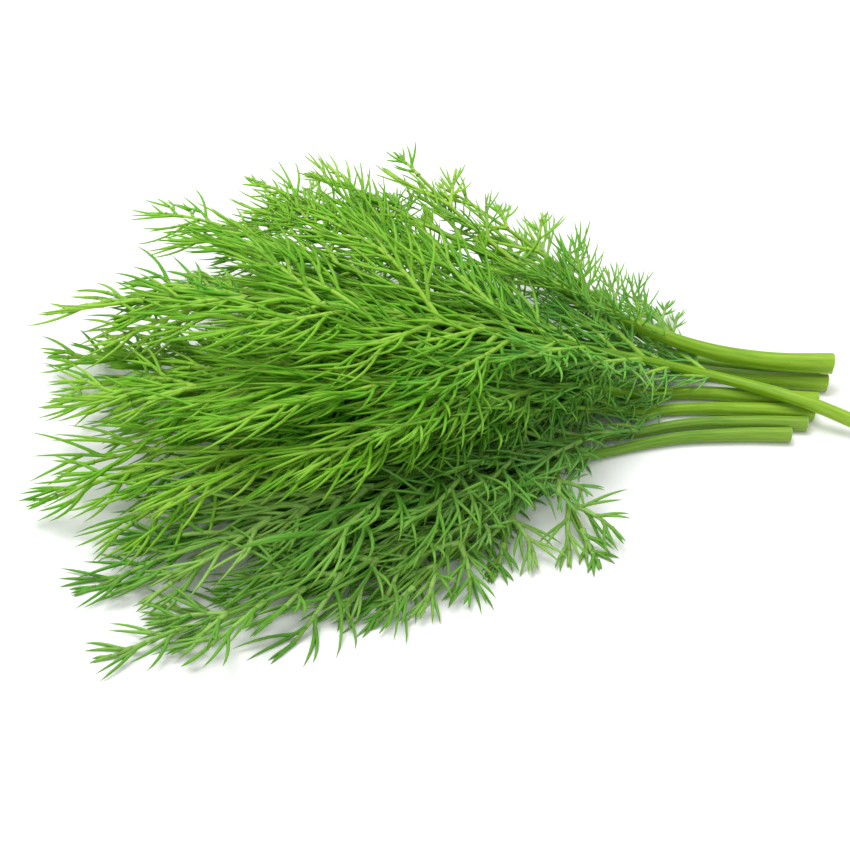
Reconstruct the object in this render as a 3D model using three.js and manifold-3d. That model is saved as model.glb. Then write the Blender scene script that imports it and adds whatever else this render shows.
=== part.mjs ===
// A small bunch of fresh dill, cut and laid on a flat surface.
// Eight leafy stems lie side by side and fan out to the left (-X). Each grew as one piece, so each is
// one solid: a bare stalk, the leaf axis that carries on from it, shorter leaves beside that, and
// branches in pairs with forked threads. Millimetres, +Z up, stalk ends towards +X, surface at z = 0.
import * as THREE from "three";
import { mergeVertices } from "three/addons/utils/BufferGeometryUtils.js";
import Module from "manifold-3d";

const wasm = await Module();
wasm.setup();

// Driving dimensions, in millimetres and degrees.
const CLEARANCE = 0.35; // air between two leafy stems
const STALK_SIDES = 8;
const STALK_STEPS = 13;
const LEAF_AXIS_SIDES = 5;
const LEAF_AXIS_STEPS = 6;
const NECK_SHARE = 0.64; // the stalk's radius where its leaf begins, as a share of the cut end's
const AXIS_TIP_RADIUS = 0.5;
const LEAF_AXIS_RADIUS = 0.95;
const LEAF_AXIS_BARE = 0.3; // share of a shorter leaf's axis that carries no branches
const BRANCH_ANGLE = [54, 30]; // between axis and branch, at the leaf's foot and near its tip
const BRANCH_LIFT = 10; // how far the two branches of a pair stand up out of the leaf's plane
const BRANCH_ROLL = 26; // how far a branch strays from that
const LONGEST_BRANCH_AT = 0.3; // share of the leaf's length where its branches are longest
const FIRST_BRANCH = 0.62; // the first and the last branch's length, as a share of the longest
const LAST_BRANCH = 0.42;
const END_BRANCH = 0.6; // the branch that ends the leaf, as a share of the longest
const BRANCHES_END = 0.96; // the last pair stands at this share of the axis
const END_BRANCH_AT = 0.97;
const FIRST_PAIR_AT = 0.15; // how far the first pair stands up the axis, in pair spacings
const END_BRANCH_ANGLE = 3;
const BRANCH_STRAY = 0.012; // how far along the axis a branch strays from its pair's place
const LENGTH_STRAY = 0.14;
const BRANCH_HALF_WIDTH = 0.5;
const BEND_AT = 0.5; // a branch leaves its axis straight, up to this share of its length
const END_OUT = 0.3; // from there its end is this much further out
const END_FORWARD = 0.25; // and this much further forward along the axis
const SAG = 0.13; // how far a branch's end hangs down, as a share of its length
const THREAD_HALF_WIDTH = 0.42;
const THREAD_THICKNESS = 0.7;
const THREAD_ANGLE = 34; // between branch and thread, at the branch's foot
const THREAD_ANGLE_FALL = 0.25; // how much less of that there is at the branch's end
const THREAD_ANGLE_STRAY = 5;
const THREAD_LENGTH = 17; // the longest thread
const THREAD_SHARE = 0.75; // and no thread is longer than this share of its branch
const THREAD_PAIR_SPACING = 11; // along a branch, so that a longer one has more pairs
const MOST_THREAD_PAIRS = 3;
const THREAD_PAIR_AT = 0.75; // where a pair stands, in pair spacings
const THREAD_STAGGER = 0.16; // and how far its two threads stand before and behind that
const THREAD_TAPER = 0.45; // how much shorter the threads at a branch's end are
const FIRST_THREAD_AT = 0.12; // where threads stand, as a share of the branch's length
const LAST_THREAD_AT = 0.92;
const BRANCH_POINT = 1.12; // where the branch's own point is, in the same way
const FORK_ANGLE = 26; // between a thread and its fork
const FORK_AT = 0.38; // where a thread forks, as a share of its length
const SHORTEST_FORKED = 12.5; // shorter threads have no fork
const FORK_SHARE = 0.48; // the fork's length, as a share of the thread's
const FORK_ROOT_OUT = 0.8; // where the fork's two edges start, in half widths off the middle line
const FORK_NOTCH_OUT = 0.6;
const RIPPLE = 0.3; // how far threads stand out of their branch's plane, as a share of their reach
const RIPPLE_PITCH = 9;
const TURN_STEP = 8; // degrees that a branch is turned by, to come clear of its neighbours
const TURNS = 4; // how many such turns are tried each way
const THREAD_REACH = 0.6; // half the diagonal of a thread's section, kept clear of neighbours
const MEAN_RADIUS_AT = 0.4; // an axis is kept clear by its radius at this share of its length
const FINEST_DETAIL = 0.02; // edges shorter than this, left where branches meet, are closed up
const BUNCH_MIDDLE = [4.445, 10.87]; // middle of the bunch's footprint, in the frame of the routes below

// Each leafy stem's route: the cut end of its stalk, points along it, and the tip of its leaf axis.
// Its leaf begins at the share leafFrom of the route, and reach is its longest branch. The shorter
// leaves beside it spring from the route at the share "at".
const LEAFY_STEMS = [
  {
    name: "leafy_stem_top_back",
    radius: 2.5,
    route: [[103, 30, 6.8], [86, 31, 7], [67, 35, 9], [32, 40, 24], [2, 54, 32], [-22, 75, 32]],
    leafFrom: 0.34,
    pairs: 5,
    reach: 24,
    leaves: [
      { at: 0.4, crown: [32, 50, 26], tip: [12, 68, 30], pairs: 3, reach: 18 },
      { at: 0.56, crown: [10, 56, 32], tip: [-3, 78, 34], pairs: 2, reach: 16 },
    ],
  },
  {
    name: "leafy_stem_far_left",
    radius: 2,
    route: [[102, 28.2, 0], [86, 30, 0], [67, 33.5, 3], [20, 31, 19], [-25, 48, 26], [-60, 73, 22]],
    leafFrom: 0.32,
    pairs: 6,
    reach: 34,
    leaves: [
      { at: 0.6, crown: [-16, 58, 28], tip: [-38, 84, 25], pairs: 3, reach: 22 },
      { at: 0.42, crown: [-4, 50, 8], tip: [-50, 70, 3], pairs: 3, reach: 24 },
    ],
  },
  {
    name: "leafy_stem_back",
    radius: 1.8,
    route: [[101, 33.4, 0], [86, 35.5, 0], [70, 39, 0], [50, 47, 8], [34, 62, 13], [24, 78, 11]],
    leafFrom: 0.4,
    pairs: 4,
    reach: 20,
    leaves: [{ at: 0.36, crown: [64, 46, 6], tip: [59, 60, 5], pairs: 2, reach: 13 }],
  },
  {
    name: "leafy_stem_arch",
    radius: 1.6,
    route: [[106, 10.8, 4], [94, 16.3, 6], [66.8, 28, 6.5], [20, 14, 29], [-30, 16, 37], [-78, 34, 24]],
    leafFrom: 0.27,
    pairs: 7,
    reach: 36,
    leaves: [],
  },
  {
    name: "leafy_stem_middle",
    radius: 1.9,
    route: [[98.5, 21, 0], [84, 24, 0], [67, 27.6, 0], [24, 8, 18], [-24, -6, 30], [-72, 2, 21]],
    leafFrom: 0.3,
    pairs: 7,
    reach: 36,
    leaves: [],
  },
  {
    name: "leafy_stem_left",
    radius: 1.8,
    route: [[97, 16.2, 0], [84, 18.8, 0], [64, 22.6, 0], [22, 6, 11], [-28, -10, 18], [-74, -22, 11]],
    leafFrom: 0.3,
    pairs: 6,
    reach: 34,
    leaves: [{ at: 0.44, crown: [-20, 16, 12], tip: [-80, 30, 9], pairs: 4, reach: 26 }],
  },
  {
    name: "leafy_stem_low",
    radius: 1.6,
    route: [[94.6, 12.1, 0], [84, 13.8, 0], [66, 15.6, 0], [26, -4, 6], [-20, -26, 12], [-60, -40, 6]],
    leafFrom: 0.33,
    pairs: 6,
    reach: 30,
    leaves: [],
  },
  {
    name: "leafy_stem_front",
    radius: 1.6,
    route: [[90, 7.8, 0], [78, 8.3, 0], [60, 7, 0], [30, -9, 3], [-14, -44, 6], [-60, -66, 3]],
    leafFrom: 0.32,
    pairs: 6,
    reach: 26,
    leaves: [
      { at: 0.32, crown: [42, -10, 6], tip: [43, -26, 3], pairs: 2, reach: 14 },
      { at: 0.46, crown: [14, -30, 8], tip: [-3, -50, 4], pairs: 3, reach: 17 },
    ],
  },
];

const FOLIAGE_COLOUR = "#6fae2a";
const FOLIAGE_ROUGHNESS = 0.55;

const UP = new THREE.Vector3(0, 0, 1);
const radians = THREE.MathUtils.degToRad;
const mix = THREE.MathUtils.lerp;
const clamp = THREE.MathUtils.clamp;

// A repeatable draw from -1 to 1 for the branch that the keys number.
function scatter(...keys) {
  const weights = [12.9898, 78.233, 37.719, 93.989, 54.217];
  const sum = keys.reduce((total, key, i) => total + (key + 1) * weights[i], 0);
  const mixed = Math.sin(sum) * 43758.5453;
  return 2 * (mixed - Math.floor(mixed)) - 1;
}

// The shortest distance between the straight pieces p1-q1 and p2-q2.
function distanceBetween(p1, q1, p2, q2) {
  const d1 = q1.clone().sub(p1);
  const d2 = q2.clone().sub(p2);
  const between = p1.clone().sub(p2);
  const a = d1.dot(d1);
  const b = d1.dot(d2);
  const c = d1.dot(between);
  const e = d2.dot(d2);
  const f = d2.dot(between);
  const crossing = a * e - b * b;
  let s = crossing > 1e-9 ? clamp((b * f - c * e) / crossing, 0, 1) : 0;
  const t = clamp((b * s + f) / e, 0, 1);
  s = clamp((b * t - c) / a, 0, 1);
  return d1.multiplyScalar(s).add(p1).distanceTo(d2.multiplyScalar(t).add(p2));
}

// The straight pieces of all that has grown so far, with what they belong to.
const grown = [];

function remember(points, radius, owner) {
  for (let i = 1; i < points.length; i++) {
    const box = new THREE.Box3().setFromPoints([points[i - 1], points[i]]).expandByScalar(radius);
    grown.push({ from: points[i - 1], to: points[i], radius, ...owner, box });
  }
}

// True where nothing else comes near: neither another leafy stem, nor another branch of the same
// one, but for its pair and the axis that carries it.
function isClear(points, radius, owner) {
  for (let i = 1; i < points.length; i++) {
    const box = new THREE.Box3().setFromPoints([points[i - 1], points[i]]);
    box.expandByScalar(radius + CLEARANCE);
    for (const other of grown) {
      const related = other.node === owner.node;
      if (related && (other.axis === owner.axis || other.isAxis)) continue;
      if (!other.box.intersectsBox(box)) continue;
      const gap = distanceBetween(points[i - 1], points[i], other.from, other.to);
      if (gap < radius + other.radius + (related ? 0 : CLEARANCE)) return false;
    }
  }
  return true;
}

function solidFrom(geometry) {
  geometry.deleteAttribute("normal");
  geometry.deleteAttribute("uv");
  const merged = mergeVertices(geometry, 1e-4);
  return new wasm.Manifold(
    new wasm.Mesh({
      numProp: 3,
      vertProperties: new Float32Array(merged.attributes.position.array),
      triVerts: new Uint32Array(merged.index.array),
    }),
  );
}

// A closed rod along an axis: a cylinder bent to the curve, with a flat side down.
function rodAlong(axis) {
  const flatSideDown = Math.PI + Math.PI / axis.sides;
  const rod = new THREE.CylinderGeometry(1, 1, 1, axis.sides, axis.steps, false, flatSideDown);
  const place = rod.getAttribute("position");
  for (let i = 0; i < place.count; i++) {
    const t = clamp(place.getY(i) + 0.5, 0, 1);
    const radius = axis.radiusAt(t);
    const along = axis.tangentAt(t);
    const aside = along.clone().cross(UP).normalize();
    const above = aside.clone().cross(along);
    const point = axis.pointAt(t);
    point.addScaledVector(aside, radius * place.getX(i));
    point.addScaledVector(above, radius * place.getZ(i));
    place.setXYZ(i, point.x, point.y, point.z);
  }
  return solidFrom(rod);
}

// Nothing sinks into the surface: an axis that comes down to it lies there on its flat side.
function laidOn(curve, radiusAt, sides) {
  return (t) => {
    const point = curve.getPointAt(t);
    point.z = Math.max(point.z, radiusAt(t) * Math.cos(Math.PI / sides));
    return point;
  };
}

const vector = (point) => new THREE.Vector3(...point);

// One leafy stem's own axis: the stalk from its cut end to the leaf, thinning, then the leaf's axis.
function mainAxis(stem) {
  const curve = new THREE.CatmullRomCurve3(stem.route.map(vector));
  const neck = stem.radius * NECK_SHARE;
  const radiusAt = (t) => {
    if (t < stem.leafFrom) return mix(stem.radius, neck, t / stem.leafFrom);
    return mix(neck, AXIS_TIP_RADIUS, (t - stem.leafFrom) / (1 - stem.leafFrom));
  };
  return {
    pointAt: laidOn(curve, radiusAt, STALK_SIDES),
    tangentAt: (t) => curve.getTangentAt(t),
    radiusAt,
    sides: STALK_SIDES,
    steps: STALK_STEPS,
    leafFrom: stem.leafFrom,
    pairs: stem.pairs,
    reach: stem.reach,
  };
}

// The axis of a shorter leaf that springs from the stem's own axis.
function sideAxis(leaf, main) {
  const foot = main.pointAt(leaf.at);
  const curve = new THREE.QuadraticBezierCurve3(foot, vector(leaf.crown), vector(leaf.tip));
  const radiusAt = (t) => mix(LEAF_AXIS_RADIUS, AXIS_TIP_RADIUS, t);
  return {
    pointAt: laidOn(curve, radiusAt, LEAF_AXIS_SIDES),
    tangentAt: (t) => curve.getTangentAt(t),
    radiusAt,
    sides: LEAF_AXIS_SIDES,
    steps: LEAF_AXIS_STEPS,
    leafFrom: LEAF_AXIS_BARE,
    pairs: leaf.pairs,
    reach: leaf.reach,
  };
}

// The direction that stands off an axis by an angle, to one side, in a plane rolled about it.
function offshoot(forward, angle, side, roll) {
  const aside = forward.clone().cross(UP).normalize();
  const above = aside.clone().cross(forward);
  const outward = aside.multiplyScalar(side * Math.cos(roll)).addScaledVector(above, Math.sin(roll));
  return forward
    .clone()
    .multiplyScalar(Math.cos(angle))
    .addScaledVector(outward, Math.sin(angle))
    .normalize();
}

// A branch's lie: it bows forward from its axis and sags at its end. lay(u, v, h) is the place of a
// point of its flat outline, u along the branch, v across it and h above its plane.
function lieOfBranch(axis, spec, roll) {
  const foot = axis.pointAt(spec.at);
  const forward = axis.tangentAt(spec.at);
  const start = offshoot(forward, spec.angle, spec.side, roll);
  const bend = foot.clone().addScaledVector(start, spec.length * BEND_AT);
  const end = bend.clone().addScaledVector(start, spec.length * END_OUT);
  end.addScaledVector(forward, spec.length * END_FORWARD);
  end.addScaledVector(UP, -spec.length * SAG);
  const curve = new THREE.QuadraticBezierCurve3(foot, bend, end);
  const across = forward.clone().cross(UP).normalize();
  const planeUp = across.clone().cross(forward).applyAxisAngle(forward, -spec.side * roll);
  return (u, v, h) => {
    const t = clamp(u / spec.length, 0, 1);
    const along = curve.getTangent(t);
    const leftward = planeUp.clone().cross(along).normalize();
    const above = along.clone().cross(leftward);
    const ripple = RIPPLE * Math.abs(v) * Math.sin((2 * Math.PI * u) / RIPPLE_PITCH + spec.phase);
    const point = curve.getPoint(t).addScaledVector(along, u - t * spec.length);
    point.addScaledVector(leftward, v).addScaledVector(above, ripple);
    point.z = Math.max(point.z, THREAD_THICKNESS / 2);
    return point.addScaledVector(above, h);
  };
}

// One forked thread in its branch's plane, for the side where v is positive: the middle lines of
// the thread and its fork, and the outline's points from its rear root to its front root.
function threadOutline(foot, length, angle, forksBack) {
  const along = new THREE.Vector2(Math.cos(angle), Math.sin(angle));
  const rear = new THREE.Vector2(-along.y, along.x);
  const at = (a, b) => new THREE.Vector2(foot, 0).addScaledVector(along, a).addScaledVector(rear, b);
  const half = THREAD_HALF_WIDTH;
  const rearRoot = at((BRANCH_HALF_WIDTH - half * along.x) / along.y, half);
  const frontRoot = at((BRANCH_HALF_WIDTH + half * along.x) / along.y, -half);
  if (length < SHORTEST_FORKED) {
    const lines = [[at(0, 0), at(length, 0)]];
    return { lines, outline: [rearRoot, at(length, 0), frontRoot] };
  }
  const way = forksBack ? 1 : -1;
  const turn = radians(FORK_ANGLE);
  const fork = FORK_AT * length;
  const reach = FORK_SHARE * length;
  const forkTip = at(fork + reach * Math.cos(turn), way * reach * Math.sin(turn));
  const forkWidth = (2 * half) / Math.sin(turn);
  const forkRoot = at(fork - forkWidth / 2, way * half * FORK_ROOT_OUT);
  const notch = at(fork + forkWidth / 2, way * half * FORK_NOTCH_OUT);
  const forked = [forkRoot, forkTip, notch];
  const outline = forksBack
    ? [rearRoot, ...forked, at(length, 0), frontRoot]
    : [rearRoot, at(length, 0), ...forked.reverse(), frontRoot];
  return { lines: [[at(0, 0), at(length, 0)], [at(fork, 0), forkTip]], outline };
}

const mirrored = (point) => new THREE.Vector2(point.x, -point.y);

// The threads that a branch of this length has room for, in its own plane.
function threadsOf(spec, pairs) {
  const threads = [];
  const longest = Math.min(THREAD_LENGTH, THREAD_SHARE * spec.length);
  for (let pair = 0; pair < pairs; pair++) {
    for (const side of [-1, 1]) {
      const draw = (purpose) => scatter(...spec.keys, 10 * pair + side, purpose);
      const up = (pair + THREAD_PAIR_AT + THREAD_STAGGER * side) / pairs;
      const foot = spec.length * mix(FIRST_THREAD_AT, LAST_THREAD_AT, up);
      const length = longest * (1 - THREAD_TAPER * up) * (1 + LENGTH_STRAY * draw(1));
      const lean = THREAD_ANGLE * (1 - THREAD_ANGLE_FALL * up) + THREAD_ANGLE_STRAY * draw(2);
      const thread = threadOutline(foot, length, radians(lean), (pair + side) % 2 === 0);
      threads.push({ side, ...thread });
    }
  }
  return threads;
}

// A branch as one thin flat piece, cut to its stalk between the threads and then bent to its lie.
function branchSolid(spec, threads, lay) {
  const left = threads.filter((thread) => thread.side > 0).flatMap((thread) => thread.outline);
  const right = threads.filter((thread) => thread.side < 0).flatMap((thread) => thread.outline);
  const points = [
    new THREE.Vector2(0, -BRANCH_HALF_WIDTH),
    ...right.map(mirrored),
    new THREE.Vector2(spec.length * BRANCH_POINT, 0),
    ...left.reverse(),
    new THREE.Vector2(0, BRANCH_HALF_WIDTH),
  ];
  const flat = { depth: THREAD_THICKNESS, bevelEnabled: false };
  const blade = new THREE.ExtrudeGeometry(new THREE.Shape(points), flat);
  const place = blade.getAttribute("position");
  for (let i = 0; i < place.count; i++) {
    const point = lay(place.getX(i), place.getY(i), place.getZ(i) - THREAD_THICKNESS / 2);
    place.setXYZ(i, point.x, point.y, point.z);
  }
  return solidFrom(blade);
}

// The branch in the turn about its axis that leaves most of its threads clear of its neighbours.
function growBranch(axis, spec, owner) {
  const pairs = clamp(Math.round(spec.length / THREAD_PAIR_SPACING), 1, MOST_THREAD_PAIRS);
  const all = threadsOf(spec, pairs);
  let best = null;
  for (let turn = 0; turn <= 2 * TURNS; turn++) {
    const way = turn % 2 ? 1 : -1;
    const roll = spec.roll + radians(TURN_STEP) * Math.ceil(turn / 2) * way;
    const lay = lieOfBranch(axis, spec, roll);
    const stalk = [0, 0.5, 1].map((share) => lay(spec.length * share, 0, 0));
    if (!isClear(stalk, THREAD_REACH, owner)) continue;
    const lines = (thread) =>
      thread.lines.map((line) => line.map((point) => lay(point.x, thread.side * point.y, 0)));
    const threads = all.filter((thread) =>
      lines(thread).every((line) => isClear(line, THREAD_REACH, owner)),
    );
    if (!best || threads.length > best.threads.length) {
      best = { lay, threads, paths: [stalk, ...threads.flatMap(lines)] };
    }
    if (threads.length === all.length) break;
  }
  return best;
}

// The pieces of one leafy stem, fused. A loose scrap is dropped, and a sealed hollow is filled.
function fused(solids) {
  const bodies = wasm.Manifold.union(solids).decompose();
  bodies.sort((a, b) => b.volume() - a.volume());
  const mesh = bodies[0].asOriginal().simplify(FINEST_DETAIL).getMesh();
  const geometry = new THREE.BufferGeometry();
  geometry.setAttribute("position", new THREE.BufferAttribute(mesh.vertProperties, mesh.numProp));
  geometry.setIndex(new THREE.BufferAttribute(mesh.triVerts, 1));
  return geometry;
}

const stems = LEAFY_STEMS.map((stem, node) => {
  const main = mainAxis(stem);
  const axes = [main, ...stem.leaves.map((leaf) => sideAxis(leaf, main))];
  axes.forEach((axis, index) => {
    const points = Array.from({ length: axis.steps + 1 }, (_, i) => axis.pointAt(i / axis.steps));
    remember(points, axis.radiusAt(MEAN_RADIUS_AT), { node, axis: index, isAxis: true });
  });
  return { name: stem.name, node, axes, solids: axes.map(rodAlong) };
});

function branchShare(up) {
  if (up < LONGEST_BRANCH_AT) return mix(FIRST_BRANCH, 1, up / LONGEST_BRANCH_AT);
  return mix(1, LAST_BRANCH, (up - LONGEST_BRANCH_AT) / (1 - LONGEST_BRANCH_AT));
}

// The branches of an axis: pairs that shorten towards its tip, and one that ends it.
function branchSpecs(axis, node, index) {
  const specs = [];
  for (let pair = 0; pair < axis.pairs; pair++) {
    const up = (pair + FIRST_PAIR_AT) / axis.pairs;
    for (const side of [-1, 1]) {
      const keys = [node, index, pair + 0.5 * side];
      specs.push({
        keys,
        at: mix(axis.leafFrom, BRANCHES_END, up) + BRANCH_STRAY * scatter(...keys, 1),
        side,
        length: axis.reach * branchShare(up) * (1 + LENGTH_STRAY * scatter(...keys, 2)),
        angle: radians(mix(...BRANCH_ANGLE, up)),
        roll: radians(BRANCH_LIFT + BRANCH_ROLL * scatter(...keys, 3)),
        phase: Math.PI * scatter(...keys, 4),
      });
    }
  }
  specs.push({
    keys: [node, index, axis.pairs],
    at: END_BRANCH_AT,
    side: 1,
    length: axis.reach * END_BRANCH,
    angle: radians(END_BRANCH_ANGLE),
    roll: 0,
    phase: 0,
  });
  return specs;
}

for (const stem of stems) {
  stem.axes.forEach((axis, index) => {
    for (const spec of branchSpecs(axis, stem.node, index)) {
      const owner = { node: stem.node, axis: index };
      const branch = growBranch(axis, spec, owner);
      if (!branch) continue;
      branch.paths.forEach((path) => remember(path, THREAD_REACH, owner));
      stem.solids.push(branchSolid(spec, branch.threads, branch.lay));
    }
  });
}

const bunch = new THREE.Group();
bunch.name = "dill_bunch";
for (const stem of stems) {
  const material = new THREE.MeshStandardMaterial({
    color: FOLIAGE_COLOUR,
    roughness: FOLIAGE_ROUGHNESS,
    metalness: 0,
  });
  const mesh = new THREE.Mesh(fused(stem.solids), material);
  mesh.name = stem.name;
  mesh.position.set(-BUNCH_MIDDLE[0], -BUNCH_MIDDLE[1], 0);
  bunch.add(mesh);
}

export default bunch;
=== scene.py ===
# A small bunch of fresh dill, cut and laid on a white table.
# Eight leafy stems lie side by side and fan out to the left (-X), stalk ends towards +X.
import math

import bpy
import numpy as np
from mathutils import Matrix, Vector


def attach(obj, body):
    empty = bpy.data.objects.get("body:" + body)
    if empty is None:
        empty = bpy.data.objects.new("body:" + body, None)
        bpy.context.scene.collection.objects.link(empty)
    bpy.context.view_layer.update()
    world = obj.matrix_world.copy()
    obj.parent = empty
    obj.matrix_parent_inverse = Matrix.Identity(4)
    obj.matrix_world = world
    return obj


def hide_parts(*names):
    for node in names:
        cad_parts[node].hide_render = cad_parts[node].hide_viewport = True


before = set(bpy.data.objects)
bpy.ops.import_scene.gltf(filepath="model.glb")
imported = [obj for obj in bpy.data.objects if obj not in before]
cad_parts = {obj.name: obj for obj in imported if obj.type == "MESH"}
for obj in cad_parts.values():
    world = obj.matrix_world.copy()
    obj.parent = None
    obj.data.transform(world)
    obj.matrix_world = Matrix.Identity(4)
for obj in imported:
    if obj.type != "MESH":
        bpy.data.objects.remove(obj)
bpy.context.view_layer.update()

# The stalks of eight leafy stems: juicy living green, ridged along their length, and cut with a knife.
# Each carries on as the axis of its leaf, and shorter leaves grow from it on axes of their own.
# Nothing ties them: they lie loose on the table and on each other.
MM = 0.001
UP = np.array([0.0, 0.0, 1.0])
BUNCH_MIDDLE = np.array([4.445, 10.87, 0.0])  # middle of the bunch's footprint, in the routes' frame
# A route runs from the cut end to the leaf's tip. It is in millimetres, as all lengths are up to the
# table. Branches begin at the share leaf_from of it, pairs counts them, and reach is the longest. A
# shorter leaf leaves the route at the share at, and bows by its crown to its tip.
LEAFY_STEMS = [
    {
        "name": "leafy_stem_top_back",
        "slot": "bright_green",
        "radius": 2.8,
        "route": [
            (103, 30, 7.1), (86, 31, 7.3), (67, 35, 9.2), (32, 40, 24), (2, 54, 32), (-22, 75, 32),
        ],
        "leaf_from": 0.34,
        "pairs": 5,
        "reach": 24,
        "leaves": [
            {"at": 0.4, "crown": (32, 50, 26), "tip": (12, 68, 30), "pairs": 3, "reach": 18},
            {"at": 0.56, "crown": (10, 56, 32), "tip": (-3, 78, 34), "pairs": 2, "reach": 16},
        ],
    },
    {
        "name": "leafy_stem_far_left",
        "slot": "bright_green",
        "radius": 2.3,
        "route": [
            (102, 28.2, 0), (86, 30, 0), (67, 33.5, 3), (20, 31, 19), (-25, 48, 26), (-60, 73, 22),
        ],
        "leaf_from": 0.32,
        "pairs": 6,
        "reach": 34,
        "leaves": [
            {"at": 0.6, "crown": (-16, 58, 28), "tip": (-38, 81, 25), "pairs": 3, "reach": 22},
            {"at": 0.42, "crown": (-4, 50, 8), "tip": (-50, 70, 3), "pairs": 3, "reach": 24},
        ],
    },
    {
        "name": "leafy_stem_back",
        "slot": "deep_green",
        "radius": 2.05,
        "route": [
            (101, 33.4, 0), (86, 35.5, 0), (70, 39, 0), (50, 47, 8), (34, 62, 13), (24, 78, 11),
        ],
        "leaf_from": 0.4,
        "pairs": 4,
        "reach": 20,
        "leaves": [
            {"at": 0.36, "crown": (64, 46, 6), "tip": (59, 57, 5), "pairs": 2, "reach": 12},
        ],
    },
    {
        "name": "leafy_stem_arch",
        "slot": "bright_green",
        "radius": 1.9,
        "route": [
            (106, 10.8, 4), (94, 16.3, 6), (66.8, 28, 6.5), (20, 14, 29), (-30, 16, 37), (-78, 34, 24),
        ],
        "leaf_from": 0.27,
        "pairs": 7,
        "reach": 36,
        "leaves": [],
    },
    {
        "name": "leafy_stem_middle",
        "slot": "bright_green",
        "radius": 2.2,
        "route": [
            (98.5, 21.2, 0), (83, 23.2, 0), (63, 24.6, 0), (25, 10, 18), (-24, -6, 30), (-72, 2, 21),
        ],
        "leaf_from": 0.3,
        "pairs": 7,
        "reach": 36,
        "leaves": [],
    },
    {
        "name": "leafy_stem_left",
        "slot": "bright_green",
        "radius": 2.05,
        "route": [
            (97, 16.6, 0), (82, 18.1, 0), (61, 18.3, 0), (23, 8.5, 11), (-28, -9, 18), (-74, -19, 12),
        ],
        "leaf_from": 0.3,
        "pairs": 6,
        "reach": 34,
        "leaves": [
            {"at": 0.44, "crown": (-20, 16, 12), "tip": (-80, 30, 9), "pairs": 4, "reach": 26},
        ],
    },
    {
        "name": "leafy_stem_low",
        "slot": "deep_green",
        "radius": 1.9,
        "route": [
            (94.6, 12.5, 0), (82, 13.2, 0), (62, 12.3, 0), (27, -0.5, 6), (-20, -26, 12), (-60, -40, 6),
        ],
        "leaf_from": 0.33,
        "pairs": 6,
        "reach": 28,
        "leaves": [],
    },
    {
        "name": "leafy_stem_front",
        "slot": "deep_green",
        "radius": 1.9,
        "route": [
            (90, 8.3, 0), (77, 8.5, 0), (58, 6.6, 0), (32, -4, 3), (-14, -42, 6), (-60, -62.5, 3),
        ],
        "leaf_from": 0.32,
        "pairs": 6,
        "reach": 23,
        "leaves": [
            {"at": 0.36, "crown": (31, -15, 8), "tip": (37, -28, 2.5), "pairs": 2, "reach": 13},
            {"at": 0.41, "crown": (21, -21, 8), "tip": (18, -33, 2.5), "pairs": 2, "reach": 12},
            {"at": 0.46, "crown": (14, -30, 8), "tip": (-4, -49, 4), "pairs": 3, "reach": 14},
        ],
    },
]
ROUTE_STEPS = 60  # places from one point of a route to the next
LEAF_AXIS_STEPS = 80
NECK_SHARE = 0.6  # the stalk's radius where its leaf begins, as a share of the cut end's
AXIS_TIP_RADIUS = 0.4
AXIS_FULLNESS = 0.65  # at 1 a leaf's axis thins evenly, below 1 it thins sooner
LEAF_AXIS_RADIUS = 0.75
LEAF_AXIS_BARE = 0.3  # share of a shorter leaf's axis that carries no branches
SHEATH_LENGTH = 0.2  # share of that axis which widens into a sheath where it leaves the stalk
SHEATH_SUNK = 0.7  # share of the axis's own radius that is hidden in the stalk there


def mix(a, b, t):
    return a + (b - a) * t


def bow(foot, bend, tip, t):
    """Places on a curve that leaves the foot towards the bend and ends at the tip."""
    return (1 - t) ** 2 * foot + 2 * t * (1 - t) * bend + t**2 * tip


def smooth_route(points):
    """A centripetal spline through the points, as many close-set places."""
    p = np.asarray(points, float)
    p = np.vstack([2 * p[0] - p[1], p, 2 * p[-1] - p[-2]])
    places = []
    for a, b, c, d in zip(p, p[1:], p[2:], p[3:]):
        gaps = [np.linalg.norm(q - r) ** 0.5 for q, r in ((b, a), (c, b), (d, c))]
        leave = ((b - a) / gaps[0] - (c - a) / (gaps[0] + gaps[1]) + (c - b) / gaps[1]) * gaps[1]
        arrive = ((c - b) / gaps[1] - (d - b) / (gaps[1] + gaps[2]) + (d - c) / gaps[2]) * gaps[1]
        squared = -3 * b + 3 * c - 2 * leave - arrive
        cubed = 2 * b - 2 * c + leave + arrive
        t = np.linspace(0, 1, ROUTE_STEPS, endpoint=False)[:, None]
        places.append(b + leave * t + squared * t**2 + cubed * t**3)
    return np.vstack([*places, p[-2][None]])


class Axis:
    """The line that a stalk or a leaf's axis follows, read by its share of length."""

    def __init__(self, places, radius_at, leaf_from, pairs, reach):
        steps = np.linalg.norm(np.diff(places, axis=0), axis=1)
        self.run = np.concatenate([[0], np.cumsum(steps)])
        self.length = self.run[-1]
        self.places = places.copy()
        lowest = radius_at(self.run / self.length)
        self.places[:, 2] = np.maximum(self.places[:, 2], lowest)
        self.courses = np.gradient(places, self.run, axis=0)
        self.radius_at = radius_at
        self.leaf_from = leaf_from
        self.pairs = pairs
        self.reach = reach

    def at(self, share):
        run = np.asarray(share) * self.length
        return np.stack([np.interp(run, self.run, self.places[:, k]) for k in range(3)], -1)

    def course(self, share):
        run = np.asarray(share) * self.length
        found = np.stack([np.interp(run, self.run, self.courses[:, k]) for k in range(3)], -1)
        return found / np.linalg.norm(found, axis=-1, keepdims=True)


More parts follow.
